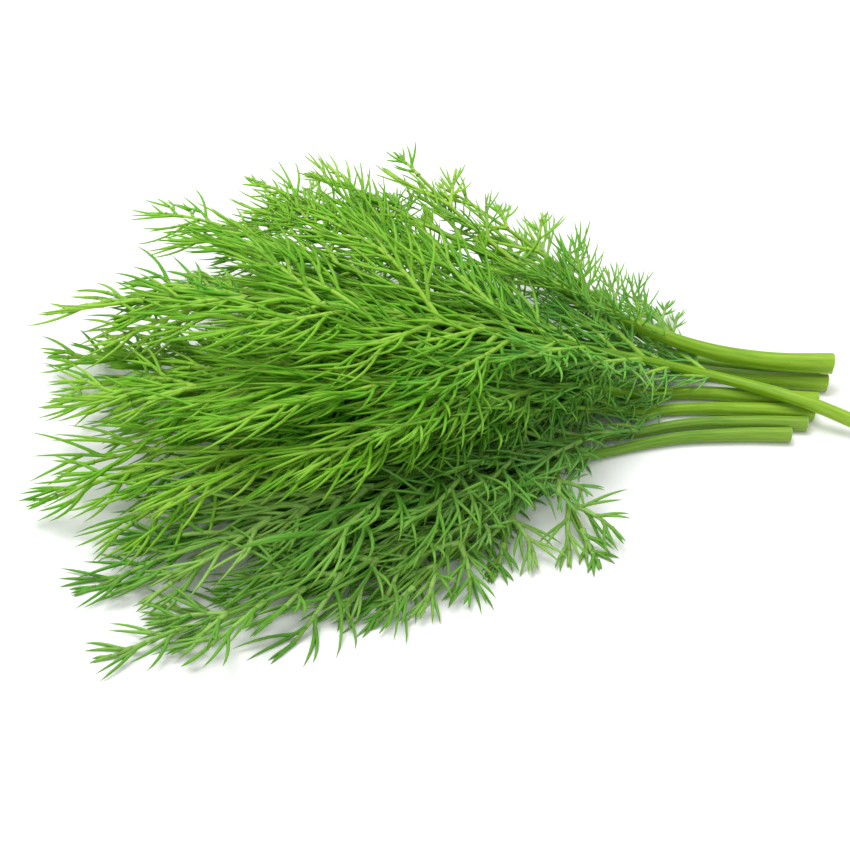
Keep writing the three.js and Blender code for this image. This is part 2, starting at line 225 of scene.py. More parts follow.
def stalk_axis(stem):
    neck = stem["radius"] * NECK_SHARE
    knee = stem["leaf_from"]

    def radius_at(t):
        stalk = mix(stem["radius"], neck, t / knee)
        beyond = np.clip((t - knee) / (1 - knee), 0, 1)
        leaf = mix(AXIS_TIP_RADIUS, neck, (1 - beyond) ** (1 / AXIS_FULLNESS))
        return np.where(t < knee, stalk, leaf)

    return Axis(smooth_route(stem["route"]), radius_at, knee, stem["pairs"], stem["reach"])


def leaf_axis(leaf, stalk):
    crown, tip = np.array(leaf["crown"], float), np.array(leaf["tip"], float)
    t = np.linspace(0, 1, LEAF_AXIS_STEPS + 1)[:, None]
    places = bow(stalk.at(leaf["at"]), crown, tip, t)
    sheath = stalk.radius_at(leaf["at"]) - SHEATH_SUNK * LEAF_AXIS_RADIUS

    def radius_at(t):
        rod = mix(LEAF_AXIS_RADIUS, AXIS_TIP_RADIUS, t)
        return rod + sheath * np.clip(1 - t / SHEATH_LENGTH, 0, 1) ** 2

    return Axis(places, radius_at, LEAF_AXIS_BARE, leaf["pairs"], leaf["reach"])


# The stalks' shape: a round rod along each axis, with fine ridges and a shallow channel on its upper
# side. The knife leaves a slightly rounded, slanted cut at one end, and the other ends in a point.
RIDGES = 7
RIDGE_HEIGHT = 0.028  # as a share of the stalk's radius
CHANNEL_DEPTH = 0.1  # likewise
CHANNEL_HALF_WIDTH = 0.55  # radians
STALK_SIDES = 44
STALK_RINGS = 120
LEAF_AXIS_SIDES = 12
LEAF_AXIS_RINGS = 40
STALK_CLEARANCE = 0.02  # between the lowest skin and the table
NO_RIDGE = 0.5  # where the skin is neither ridge, at 1, nor groove, at 0
# Rings of the cut, edge to middle: share of the radius, how far it stands out, how much flesh shows.
CUT_RINGS = [
    (0.97, 0.06, 0.3463),
    (0.9, 0.12, 0.965),
    (0.75, 0.12, 0.9125),
    (0.5, 0.12, 0.825),
    (0.25, 0.12, 0.7375),
]
CUT_MIDDLE = (0.072, 0.6)  # how far the cut's middle stands out, and how much flesh shows
CUT_SLANT = 0.16  # how far the knife leant, as a share of the radius


def ring_quads(rings, sides):
    """The four-sided faces between rings of points, which are numbered ring by ring."""
    ring, side = np.meshgrid(np.arange(rings - 1), np.arange(sides), indexing="ij")
    low = ring * sides + side
    beside = ring * sides + (side + 1) % sides
    return np.stack([low, beside, beside + sides, low + sides], -1).reshape(-1, 4)


def stalk_mesh(axis, sides, rings, cut):
    """One ridged rod: its points, its faces, and the values that colour its skin."""
    points, faces = [], []
    values = {"along": [], "ridge": [], "round": [], "flesh": []}

    def add_points(places, **looks):
        first = sum(len(earlier) for earlier in points)
        points.append(places)
        for key, value in looks.items():
            values[key].append(np.broadcast_to(value, len(places)))
        return first

    shares = np.linspace(0, 1, rings)
    centre = axis.at(shares)
    course = axis.course(shares)
    aside = np.cross(course, UP)
    aside /= np.linalg.norm(aside, axis=1, keepdims=True)
    above = np.cross(aside, course)
    radius = axis.radius_at(shares)
    angle = 2 * math.pi * np.arange(sides) / sides
    from_top = np.abs((angle - math.pi / 2 + math.pi) % (2 * math.pi) - math.pi)
    ridges = np.cos(RIDGES * angle)
    channel = CHANNEL_DEPTH * np.exp(-((from_top / CHANNEL_HALF_WIDTH) ** 2))
    profile = 1 - RIDGE_HEIGHT + RIDGE_HEIGHT * ridges - channel
    spokes = np.cos(angle)[None, :, None] * aside[:, None] + np.sin(angle)[None, :, None] * above[:, None]
    skin = centre[:, None] + spokes * (radius[:, None] * profile[None])[..., None]
    skin[..., 2] = np.maximum(skin[..., 2], STALK_CLEARANCE)
    add_points(
        skin.reshape(-1, 3),
        along=np.repeat(shares * axis.length, sides),
        ridge=np.tile((1 + ridges) / 2, rings),
        round=np.tile(angle, rings),
        flesh=0,
    )
    faces.append(ring_quads(rings, sides))
    tip = axis.at(1.0) + axis.course(1.0) * axis.radius_at(np.array(1.0))
    end = add_points(tip[None], along=axis.length, ridge=NO_RIDGE, round=0, flesh=0)
    last = (rings - 1) * sides + np.arange(sides)
    faces.append(np.stack([last, np.roll(last, -1), np.full(sides, end)], -1))
    if cut:
        outer = np.arange(sides)
        for share, out, flesh in CUT_RINGS:
            lean = CUT_SLANT * radius[0] * np.sin(angle)[:, None] * share
            flat = centre[0] + spokes[0] * (radius[0] * profile * share)[:, None]
            flat -= course[0] * (out + lean)
            flat[:, 2] = np.maximum(flat[:, 2], STALK_CLEARANCE)
            first = add_points(flat, along=0, ridge=NO_RIDGE, round=angle, flesh=flesh)
            inner = first + np.arange(sides)
            faces.append(np.stack([outer, inner, np.roll(inner, -1), np.roll(outer, -1)], -1))
            outer = inner
        out, flesh = CUT_MIDDLE
        middle = (centre[0] - course[0] * out)[None]
        end = add_points(middle, along=0, ridge=NO_RIDGE, round=0, flesh=flesh)
        faces.append(np.stack([outer, np.full(sides, end), np.roll(outer, -1)], -1))
    return np.vstack(points), faces, {key: np.concatenate(value) for key, value in values.items()}


def joined(meshes):
    """Several rods as one mesh: their points, faces and attributes, one after another."""
    points, faces, attributes, first = [], [], {}, 0
    for vertices, polygons, values in meshes:
        points.append(vertices)
        faces += [f + first for f in polygons]
        for key, value in values.items():
            attributes.setdefault(key, []).append(value)
        first += len(vertices)
    return np.vstack(points), faces, {key: np.concatenate(value) for key, value in attributes.items()}


def new_piece(name, vertices, faces, attributes, material):
    """A smooth mesh in the part's frame, from millimetres in the routes' frame."""
    mesh = bpy.data.meshes.new(name)
    mesh.vertices.add(len(vertices))
    mesh.vertices.foreach_set("co", ((vertices - BUNCH_MIDDLE) * MM).astype(np.float32).ravel())
    corners = np.concatenate([np.asarray(f).ravel() for f in faces])
    sizes = np.concatenate([np.full(len(f), np.asarray(f).shape[1]) for f in faces])
    mesh.loops.add(len(corners))
    mesh.loops.foreach_set("vertex_index", corners.astype(np.int32))
    mesh.polygons.add(len(sizes))
    mesh.polygons.foreach_set("loop_start", (np.cumsum(sizes) - sizes).astype(np.int32))
    mesh.update(calc_edges=True)
    mesh.validate()
    mesh.shade_smooth()
    for key, values in attributes.items():
        made = mesh.attributes.new(key, "FLOAT", "POINT")
        made.data.foreach_set("value", np.asarray(values, np.float32))
    mesh.materials.append(material)
    piece = bpy.data.objects.new(name, mesh)
    bpy.context.scene.collection.objects.link(piece)
    return piece


# The stalks' skin: pale yellow-green at the cut, greener to the leaf, with streaks along it, and painted
# shade in the grooves between its ridges. The cut itself shows paler, wet flesh. Colours stand at shares
# of COLOURS_RUN from the cut end.
STALK_COLOURS = {
    "bright_green": [
        (0.0, (0.31, 0.48, 0.035)),
        (0.12, (0.225, 0.405, 0.009)),
        (0.4, (0.15, 0.33, 0.012)),
        (1.0, (0.22, 0.46, 0.04)),
    ],
    "deep_green": [
        (0.0, (0.235, 0.38, 0.045)),
        (0.12, (0.145, 0.285, 0.025)),
        (0.4, (0.12, 0.28, 0.03)),
        (1.0, (0.19, 0.4, 0.08)),
    ],
}
COLOURS_RUN = 190.0
STREAK_SCALE = 6.0
STREAK_DETAIL = 4.0
STREAK_STRETCH = 0.018  # streaks change in a millimetre along as they do in this many radians round
PALE_STREAK = (0.34, 0.52, 0.05)
DARK_STREAK = (0.085, 0.21, 0.012)
# Painted shade: the colour that darkens the grooves between the ridges.
GROOVE_PAINTED_SHADE = (0.55, 0.72, 0.3)
FLESH = (0.55, 0.68, 0.30)
# Where each of these begins, and how fast it grows from there. One that falls away has a minus.
PALE_STREAKS = (0.4, 1.1)
DARK_STREAKS = (0.5, -2.0)
GROOVES = (1.0, -0.55)
STALK_SHEEN = {
    "Subsurface Weight": 0.35,
    "Specular IOR Level": 0.22,
    "Coat Weight": 0.06,
    "Coat Roughness": 0.25,
}
STALK_ROUGHNESS = {"To Min": 0.32, "To Max": 0.5}
STALK_BUMPS = {"Strength": 0.35, "Distance": 0.12 * MM}
LIGHT_UNDER_SKIN = {"Subsurface Radius": (0.6, 1.0, 0.25), "Subsurface Scale": 1.2 * MM}
MIX_SHARE, MIX_UNDER, MIX_OVER, MIX_RESULT = 0, 6, 7, 2  # the sockets for colours on a mix node


def set_inputs(made, values):
    for name, value in values.items():
        made.inputs[name].default_value = value


def node(tree, kind, **settings):
    made = tree.nodes.new(kind)
    for key, value in settings.items():
        setattr(made, key, value)
    return made


def attribute(tree, name):
    return node(tree, "ShaderNodeAttribute", attribute_name=name).outputs["Fac"]


def combine(tree, operation, value, by):
    made = node(tree, "ShaderNodeMath", operation=operation)
    tree.links.new(value, made.inputs[0])
    made.inputs[1].default_value = by
    return made.outputs[0]


def past(tree, value, start, growth):
    """How far a value is past its start, times its growth. A blend takes less than 0 as 0."""
    return combine(tree, "MULTIPLY", combine(tree, "SUBTRACT", value, start), growth)


def blend_colours(tree, share, under, over, how="MIX"):
    made = node(tree, "ShaderNodeMix", data_type="RGBA", blend_type=how)
    tree.links.new(share, made.inputs[MIX_SHARE])
    tree.links.new(under, made.inputs[MIX_UNDER])
    made.inputs[MIX_OVER].default_value = (*over, 1)
    return made.outputs[MIX_RESULT]


def colour_steps(tree, share, steps):
    """Colours that blend into each other, the first at share 0 and the last at 1."""
    made = node(tree, "ShaderNodeValToRGB")
    elements = made.color_ramp.elements
    for place, _ in steps[1:-1]:
        elements.new(place)
    for element, (_, colour) in zip(elements, steps):
        element.color = (*colour, 1)
    tree.links.new(share, made.inputs[0])
    return made.outputs[0]


def speckle(tree, where, scale, detail):
    made = node(tree, "ShaderNodeTexNoise")
    set_inputs(made, {"Scale": scale, "Detail": detail})
    tree.links.new(where, made.inputs["Vector"])
    return made.outputs["Fac"]


def juicy_surface(name):
    """A new material for living plant skin: its node tree and its shader."""
    material = bpy.data.materials.new(name)
    material.use_nodes = True
    tree = material.node_tree
    shader = tree.nodes["Principled BSDF"]
    set_inputs(shader, LIGHT_UNDER_SKIN)
    return material, tree, shader


def cover(tree, shader, colour, texture, roughness, bumps):
    """The colour on the shader, and a texture that varies its roughness and raises small bumps."""
    tree.links.new(colour, shader.inputs["Base Color"])
    slick = node(tree, "ShaderNodeMapRange")
    set_inputs(slick, roughness)
    tree.links.new(texture, slick.inputs["Value"])
    tree.links.new(slick.outputs[0], shader.inputs["Roughness"])
    raised = node(tree, "ShaderNodeBump")
    set_inputs(raised, bumps)
    tree.links.new(texture, raised.inputs["Height"])
    tree.links.new(raised.outputs[0], shader.inputs["Normal"])


def stalk_material(slot):
    material, tree, shader = juicy_surface("stalk_" + slot)
    along = attribute(tree, "along")
    skin = node(tree, "ShaderNodeCombineXYZ")
    tree.links.new(attribute(tree, "round"), skin.inputs["X"])
    tree.links.new(combine(tree, "MULTIPLY", along, STREAK_STRETCH), skin.inputs["Y"])
    streaks = speckle(tree, skin.outputs[0], STREAK_SCALE, STREAK_DETAIL)
    grooved = past(tree, attribute(tree, "ridge"), *GROOVES)
    colour = colour_steps(tree, combine(tree, "DIVIDE", along, COLOURS_RUN), STALK_COLOURS[slot])
    colour = blend_colours(tree, past(tree, streaks, *PALE_STREAKS), colour, PALE_STREAK)
    colour = blend_colours(tree, past(tree, streaks, *DARK_STREAKS), colour, DARK_STREAK)
    # painted shade in the grooves
    colour = blend_colours(tree, grooved, colour, GROOVE_PAINTED_SHADE, "MULTIPLY")
    colour = blend_colours(tree, attribute(tree, "flesh"), colour, FLESH)
    cover(tree, shader, colour, streaks, STALK_ROUGHNESS, STALK_BUMPS)
    set_inputs(shader, STALK_SHEEN)
    return material


stalk_skins = {slot: stalk_material(slot) for slot in STALK_COLOURS}
for stem in LEAFY_STEMS:
    main = stalk_axis(stem)
    stem["axes"] = [main] + [leaf_axis(leaf, main) for leaf in stem["leaves"]]
    rods = [stalk_mesh(main, STALK_SIDES, STALK_RINGS, cut=True)]
    rods += [stalk_mesh(axis, LEAF_AXIS_SIDES, LEAF_AXIS_RINGS, cut=False) for axis in stem["axes"][1:]]
    stalk = new_piece(stem["name"] + "_stalk", *joined(rods), stalk_skins[stem["slot"]])
    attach(stalk, "root")
    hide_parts(stem["name"])

# The feathery leaves, soft living green: from each axis grow branches in pairs, on these sprigs, and
# on the sprigs finer threads that fork off. Each thread is a little flattened and thin, drawn
# out to a fine point, and grown together with what carries it.
BRANCH, SPRIG, FORK = range(3)
# How each stem's leaf differs. Pairs of values are for the near and the far side of its axis.
# fill: length of the shorter branches between the main ones, as a share of theirs
# splay: how many degrees more the branches stand off near the leaf's foot
# size: the branches' length near the leaf's foot, and broad: near its tip, as shares of reach
# follow: how far the branches turn to go along the axis
# end: length of the branch that carries the axis on, as a share of reach
# early: how many of the shorter pairs grow on the stalk, below the leaf
# lighter: how much paler the green is
# under: length of the branches below the axis, as a share of the main ones
# thick, long, open, forks: the threads' thickness, length and spread, and how often they fork
HABITS = {
    "leafy_stem_top_back": {
        "fill": (0.4, 0.3), "splay": (0, 22), "size": (1, 0.66), "follow": (1, 0.1),
        "broad": 1.0, "end": 0.6, "early": 1, "lighter": 0.2, "under": 0.0,
        "thick": 0.8, "long": 0.8, "open": 1.08, "forks": 2,
    },
    "leafy_stem_far_left": {
        "fill": (0.62, 0.5), "splay": (0, 20), "size": (1, 0.95), "follow": (1, 0.15),
        "broad": 1.0, "end": 0.6, "early": 3, "lighter": 0.05, "under": 0.65,
        "thick": 0.9, "long": 0.9, "open": 1.14, "forks": 2,
    },
    "leafy_stem_back": {
        "fill": (0.42, 0.34), "splay": (0, 10), "size": (1, 0.6), "follow": (1, 0.3),
        "broad": 1.0, "end": 0.55, "early": 1, "lighter": 0.3, "under": 0.0,
        "thick": 0.74, "long": 0.74, "open": 1.0, "forks": 2,
    },
    "leafy_stem_arch": {
        "fill": (0.6, 0.7), "splay": (0, 12), "size": (1, 1), "follow": (1, 0.6),
        "broad": 1.0, "end": 0.6, "early": 2, "lighter": 0.0, "under": 0.85,
        "thick": 1.08, "long": 1.05, "open": 1.12, "forks": 2,
    },
    "leafy_stem_middle": {
        "fill": (0.6, 0.7), "splay": (0, 0), "size": (1, 1), "follow": (1, 1),
        "broad": 1.0, "end": 0.6, "early": 3, "lighter": 0.0, "under": 0.85,
        "thick": 1.08, "long": 1.05, "open": 1.12, "forks": 2,
    },
    "leafy_stem_left": {
        "fill": (0.5, 0.6), "splay": (0, 0), "size": (1, 1), "follow": (1, 1),
        "broad": 1.1, "end": 0.58, "early": 2, "lighter": 0.0, "under": 0.85,
        "thick": 1.12, "long": 1.28, "open": 1.16, "forks": 2,
    },
    "leafy_stem_low": {
        "fill": (0.5, 0.7), "splay": (4, 0), "size": (1, 1), "follow": (1, 1),
        "broad": 1.28, "end": 0.74, "early": 2, "lighter": 0.0, "under": 0.75,
        "thick": 1.12, "long": 1.22, "open": 1.2, "forks": 2,
    },
    "leafy_stem_front": {
        "fill": (0.6, 0.7), "splay": (20, 0), "size": (0.8, 1.15), "follow": (0.7, 1),
        "broad": 1.14, "end": 0.66, "early": 1, "lighter": 0.05, "under": 0.65,
        "thick": 1.08, "long": 1.2, "open": 1.25, "forks": 1,
    },
}
SMALL_LEAF = 19  # a leaf whose branches are shorter than this has few of them
# Up the leaf a place is 0 where its branches begin, 1 at its tip, and less than 0 on the stalk.
FIRST_PAIR_AT = 0.15  # in the space of one pair
UNDER_BETWEEN = 0.25  # how far past each half pair the branches under the axis stand, in half pairs
UNDER_TO = 0.62  # how far up the leaf those go
END_BRANCH_AT = 0.95  # on the axis, as the next is
BRANCHES_END = 0.93
BRANCH_STRAY = 0.012
BRANCH_ANGLES = [(-0.2, 20), (0, 32), (0.3, 44), (1, 26)]  # place, degrees off the axis
END_BRANCH_ANGLE = 3
ANGLE_STRAY = 8  # degrees
BRANCH_LIFTS = [(-0.2, 36), (0.3, 22), (0.6, -4), (1, -12)]  # place, degrees out of the leaf's plane
UNDER_LIFT = -48
BRANCH_ROLL = {"main": 27, "fill": 42, "under": 16}  # how many degrees the lift strays
LONGEST_BRANCH_AT = 0.3
FIRST_BRANCH = 0.62  # length at the leaf's foot, as a share of reach
LAST_BRANCH = 0.62
LOWEST_PLACE = -0.1  # from here down the branches get no shorter
LENGTH_STRAY = 0.14
# Painted shade: the fill branches, and still more the ones under the axis, lie deeper in the bunch and get
# a darker tint.
BRANCH_PAINTED_SHADE = {"main": 0, "fill": 0.24, "under": 0.52}
DRAW_WEIGHTS = (12.9898, 78.233, 37.719, 93.989, 54.217, 21.713, 67.345)
DRAW_SPREAD = 43758.5453


def scatter(*keys):
    """A repeatable draw from -1 to 1 for what the keys number."""
    total = sum((key + 1) * weight for key, weight in zip(keys, DRAW_WEIGHTS))
    mixed = math.sin(total) * DRAW_SPREAD
    return 2 * (mixed - math.floor(mixed)) - 1


def between(steps, place):
    """The value at a place, between those of the steps on either side of it."""
    return np.interp(place, *zip(*steps))


def branch_share(up):
    if up < LONGEST_BRANCH_AT:
        return mix(FIRST_BRANCH, 1, up / LONGEST_BRANCH_AT)
    return mix(1, LAST_BRANCH, (up - LONGEST_BRANCH_AT) / (1 - LONGEST_BRANCH_AT))


def branch_plans(axis, number, index, habit):
    """Where an axis's branches stand, how long they are and how they lean, foot to tip."""
    small = axis.reach < SMALL_LEAF
    halves = range(2 * axis.pairs)
    kinds = [("main", half) for half in halves[::2]]
    if not small:
        kinds += [("fill", half) for half in range(-habit["early"] if index == 0 else 0, 0)]
        kinds += [("fill", half) for half in halves[1::2]]
    if index == 0 and habit["under"]:
        kinds += [("under", half + UNDER_BETWEEN) for half in halves if half < UNDER_TO * len(halves)]
    plans = []
    for kind, half in kinds:
        up = (half / 2 + FIRST_PAIR_AT) / axis.pairs
        on_leaf = max(up, 0)
        lift = UNDER_LIFT if kind == "under" else between(BRANCH_LIFTS, up)
        for far, side in enumerate((-1, 1)):
            keys = (number, index, (half + side) / 2)
            share = mix(habit["size"][far], habit["broad"], on_leaf)
            share *= {"main": 1, "fill": habit["fill"][far], "under": habit["under"]}[kind]
            length = share * axis.reach * branch_share(max(up, LOWEST_PLACE))
            off_axis = between(BRANCH_ANGLES, up) + habit["splay"][far] * (1 - on_leaf)
            plans.append(
                {
                    "keys": keys,
                    "at": mix(axis.leaf_from, BRANCHES_END, up) + BRANCH_STRAY * scatter(*keys, 1),
                    "side": side,
                    "length": length * (1 + LENGTH_STRAY * scatter(*keys, 2)),
                    "angle": math.radians(off_axis + ANGLE_STRAY * scatter(*keys, 6)),
                    "roll": math.radians(lift + BRANCH_ROLL[kind] * scatter(*keys, 3)),
                    "up": up,
                    "follow": habit["follow"][far],
                    "painted_shade": BRANCH_PAINTED_SHADE[kind],
                    "small": small,
                }
            )
    plans.append(
        {
            "keys": (number, index, axis.pairs),
            "at": END_BRANCH_AT,
            "side": 1,
            "length": axis.reach * habit["end"],
            "angle": math.radians(END_BRANCH_ANGLE),
            "roll": 0,
            "up": 1.0,
            "follow": 1,
            "painted_shade": 0,
            "small": small,
        }
    )
    return plans


# The threads' shape, about a thousand to a stem: each bows once, widens where it joins what carries
# it, and is a little flattened. Sprigs and forks are drawn out to a point near their end.
SIDES_AND_RINGS = {BRANCH: (6, 12), SPRIG: (5, 7), FORK: (5, 6)}
FOOT_FLARE = 0.4  # how much thicker a thread is where it joins
FLARE_POWER = 8  # how soon that is over
DRAWN_OUT_OVER = 2.2  # one part in this many of the length is drawn out
DRAWN_OUT_POWER = 0.6
POINT_RADIUS = 0.02
FLATTENED = 0.8
THREAD_CLEARANCE = 0.03  # between a thread and the table
TALLEST = 43  # threads that would stand higher bow down under their own weight
BOWED_SHARE = 0.4
NEXT_TO_NOTHING = 1e-9  # keeps a direction from being divided by nothing


class Threads:
    """The tapering threads of one leafy stem: for each its foot, bend, tip, radii, tint and place."""

    def __init__(self):
        self.rows = {BRANCH: [], SPRIG: [], FORK: []}

    def add(self, foot, bend, tip, radii, rank, tint, up):
        self.rows[rank].append((*foot, *bend, *tip, *radii, tint, up))

    def mesh(self, rank):
        sides, rings = SIDES_AND_RINGS[rank]
        rows = np.array(self.rows[rank])
        foot, bend, tip = rows[:, None, 0:3], rows[:, None, 3:6], rows[:, None, 6:9]
        thick, thin, tint, up = rows[:, 9:].T
        t = np.linspace(0, 1, rings)[None]
        body = mix(thick[:, None], thin[:, None], t) * (1 + FOOT_FLARE * (1 - t) ** FLARE_POWER)
        if rank != BRANCH:
            body = body * np.clip((1 - t) * DRAWN_OUT_OVER, 0, 1) ** DRAWN_OUT_POWER
        radius = body + POINT_RADIUS
        centre = bow(foot, bend, tip, t[..., None])
        bowed = TALLEST + BOWED_SHARE * (centre[..., 2] - TALLEST)
        centre[..., 2] = np.where(centre[..., 2] > TALLEST, bowed, centre[..., 2])
        centre[..., 2] = np.maximum(centre[..., 2], radius + THREAD_CLEARANCE)
        course = np.gradient(centre, axis=1)
        course /= np.linalg.norm(course, axis=-1, keepdims=True) + NEXT_TO_NOTHING
        aside = np.cross(course, UP)
        aside /= np.linalg.norm(aside, axis=-1, keepdims=True) + NEXT_TO_NOTHING
        above = np.cross(aside, course)
        angle = 2 * math.pi * np.arange(sides) / sides
        across = np.cos(angle)[None, None, :, None] * aside[:, :, None]
        upright = FLATTENED * np.sin(angle)[None, None, :, None] * above[:, :, None]
        points = centre[:, :, None] + (across + upright) * radius[:, :, None, None]
        count = rings * sides
        first = np.arange(len(rows)) * count
        faces = ring_quads(rings, sides)[None] + first[:, None, None]
        values = {
            "tipward": np.tile(np.repeat(t[0], sides), len(rows)),
            "tint": np.repeat(tint, count),
            "rank": np.full(len(rows) * count, rank),
            "up": np.repeat(up, count),
        }
        return points.reshape(-1, 3), [faces.reshape(-1, 4)], values


# How the threads grow from one another: sprigs in pairs along a branch and one at its end, and forks
# on each sprig, to one side and then to the other. All turn to follow the flow of the leaf.
BRANCH_RADII = (0.64, 0.43)  # at the foot and near the tip, as the next two are
SPRIG_RADII = (0.4, 0.33)
FORK_RADII = (0.36, 0.3)
BEND_AT = 0.5  # on a branch, and then how far its tip goes out, forward and down, as shares of length
END_OUT = 0.24
END_FORWARD = 0.33
SAG = 0.12
SPRIG_SPACING = 6.6  # between the pairs of sprigs on a branch
SMALL_LEAF_SPACING = 1.5  # how many times wider that is on a small leaf
SPRIG_PAIRS = (2, 7)  # fewest and most on a branch
FIRST_SPRIG_AT = 0.04
LAST_SPRIG_AT = 0.92
SPRIG_STAGGER = 0.2  # how far the two of a pair stand off its middle, as a share of its space
SPRIG_LENGTH = 24
LONGEST_SPRIG = 0.95  # as a share of its branch
SPRIG_TAPER = 0.15  # how much shorter the last sprigs are
SPRIG_ANGLE = 29  # degrees
SPRIG_CLOSES = 0.3  # how much closer to the branch the last sprigs lie
SPRIG_STRAY = 9  # degrees
END_SPRIG_LENGTH = 0.45  # as a share of the longest
END_SPRIG_ANGLE = 0.05  # radians
END_SPRIG_KEY = 99  # the number of its draws
FORKS = [(0.2, 0.8), (0.4, 0.6)]  # place and length, as shares of the sprig
FORK_ANGLE = 17  # degrees
FORK_STRAY = 7
FORK_LENGTH_STRAY = 0.2
CURL = 0.76  # how far a thread turns towards the flow of the leaf
CURL_STRAY = 0.4
FLOW_OF_AXIS = 0.55  # how much of that flow is the leaf axis's own, the rest the branch's
OUT_OF_PLANE = 17  # degrees that a thread's inner half strays from the plane of its branch
TIP_OUT_OF_PLANE = 0.25  # the same for its outer half, as a slope
FINE_BY_THE_STALK = [(-0.2, 0.68), (0.3, 1), (1, 1.16)]  # place, share of the threads' thickness
SHORT_BY_THE_STALK = [(-0.2, 0.6), (0.12, 0.66), (0.5, 1)]  # place, share of the sprigs' length
OPEN_BY_THE_STALK = [(-0.2, 1.35), (0.12, 1.3), (0.5, 1)]  # place, how many times wider they fork
TINT_UP_THE_LEAF = [(-0.2, 0.4), (0.35, 0.54), (1, 0.68)]  # place, tint from 0, dark, to 1, light
TINT_RANGE = 0.36
SPRIG_TINT = 0.2
SPRIG_KEEPS_TINT = 0.6  # how much of its branch's tint a sprig adds to its own
SPRIG_TINT_RANGE = 0.2


def unit(v):
    return v / np.linalg.norm(v)


def turned(v, about, angle):
    """v turned about a unit vector."""
    c, s = math.cos(angle), math.sin(angle)
    return v * c + np.cross(about, v) * s + about * (about @ v) * (1 - c)


def grow_thread(threads, foot, course, flow, plane_up, side, angle, length, radii, rank, look, keys, curl):
    """A thread that stands off its carrier's course to one side, then curls towards the flow."""
    lean = math.radians(OUT_OF_PLANE * scatter(*keys, 7))
    out = turned(course, plane_up, -side * angle)
    out = unit(out + plane_up * math.sin(lean))
    bend = foot + out * length / 2
    ahead = unit(mix(out, flow, curl) + plane_up * TIP_OUT_OF_PLANE * scatter(*keys, 8))
    tip = bend + ahead * length / 2
    threads.add(foot, bend, tip, radii, rank, *look)
    return (foot, bend, tip), (out, ahead)


def grow_sprig(threads, place, course, flow, plane_up, side, angle, length, look, keys, manner):
    """A sprig and the threads that fork off it, to one side and then to the other."""
    radii = [manner["thick"] * r for r in SPRIG_RADII]
    fine = [manner["thick"] * r for r in FORK_RADII]
    curl = CURL / manner["open"] ** 2 * (1 + CURL_STRAY * scatter(*keys, 9))
    angle *= manner["open"]
    lie = (flow, plane_up)
    line, ways = grow_thread(
        threads, place, course, *lie, side, angle, length, radii, SPRIG, look, keys, curl
    )
    for number, (share, size) in enumerate(manner["forks"]):
        mark = (*keys, number)
        reach = length * size * (1 + FORK_LENGTH_STRAY * scatter(*mark, 4))
        turn = math.radians(FORK_ANGLE * manner["open"] + FORK_STRAY * scatter(*mark, 5))
        start, heading = bow(*line, share), unit(mix(*ways, share))
        grow_thread(threads, start, heading, *lie, side, turn, reach, fine, FORK, look, mark, curl)
        side = -side


def grow_branch(threads, axis, plan, habit):
    """A branch, the pairs of sprigs along it, and the sprig that ends it."""
    foot = axis.at(plan["at"])
    forward = axis.course(plan["at"])
    across = unit(np.cross(forward, UP))
    above = np.cross(across, forward)
    side, length, keys = plan["side"], plan["length"], plan["keys"]
    outward = across * side * math.cos(plan["roll"]) + above * math.sin(plan["roll"])
    start = unit(forward * math.cos(plan["angle"]) + outward * math.sin(plan["angle"]))
    bend = foot + start * length * BEND_AT
    ahead = mix(start, forward, plan["follow"])
    tip = bend + start * length * END_OUT + ahead * length * END_FORWARD - UP * length * SAG
    plane_up = turned(above, forward, -side * plan["roll"])
    # A branch deep in the bunch loses some of its tint as painted shade.
    tint = between(TINT_UP_THE_LEAF, plan["up"]) + TINT_RANGE * scatter(*keys, 5) - plan["painted_shade"]
    tint += habit["lighter"]
    radii = [habit["thick"] * r for r in BRANCH_RADII]
    threads.add(foot, bend, tip, radii, BRANCH, tint, plan["up"])
    short = between(SHORT_BY_THE_STALK, plan["up"])
    spacing = SPRIG_SPACING * habit["long"] * (SMALL_LEAF_SPACING if plan["small"] else short)
    fewest, most = SPRIG_PAIRS
    pairs = int(min(max(round(length / spacing), fewest), most))
    longest = min(SPRIG_LENGTH * habit["long"] * short, LONGEST_SPRIG * length)
    manner = {
        "thick": habit["thick"] * between(FINE_BY_THE_STALK, plan["up"]),
        "forks": FORKS[: 1 if plan["small"] else habit["forks"]],
        "open": habit["open"] * between(OPEN_BY_THE_STALK, plan["up"]),
    }
    for pair in range(pairs):
        for way in (-1, 1):
            mark = (*keys, 10 * pair + way)
            up = (pair + 0.5 + SPRIG_STAGGER * way) / pairs
            t = mix(FIRST_SPRIG_AT, LAST_SPRIG_AT, up)
            place = bow(foot, bend, tip, t)
            course = unit(mix(bend - foot, tip - bend, t))
            reach = longest * (1 - SPRIG_TAPER * up) * (1 + LENGTH_STRAY * scatter(*mark, 1))
            angle = math.radians(SPRIG_ANGLE * (1 - SPRIG_CLOSES * up) + SPRIG_STRAY * scatter(*mark, 2))
            own_tint = SPRIG_KEEPS_TINT * tint + SPRIG_TINT + SPRIG_TINT_RANGE * scatter(*mark, 3)
            flow = unit(mix(course, forward, FLOW_OF_AXIS * plan["follow"]))
            look = (own_tint, plan["up"])
            grow_sprig(threads, place, course, flow, plane_up, way, angle, reach, look, mark, manner)
    end = unit(tip - bend)
    look, mark, reach = (tint, plan["up"]), (*keys, END_SPRIG_KEY), longest * END_SPRIG_LENGTH
    grow_sprig(threads, tip, end, end, plane_up, 1, END_SPRIG_ANGLE, reach, look, mark, manner)


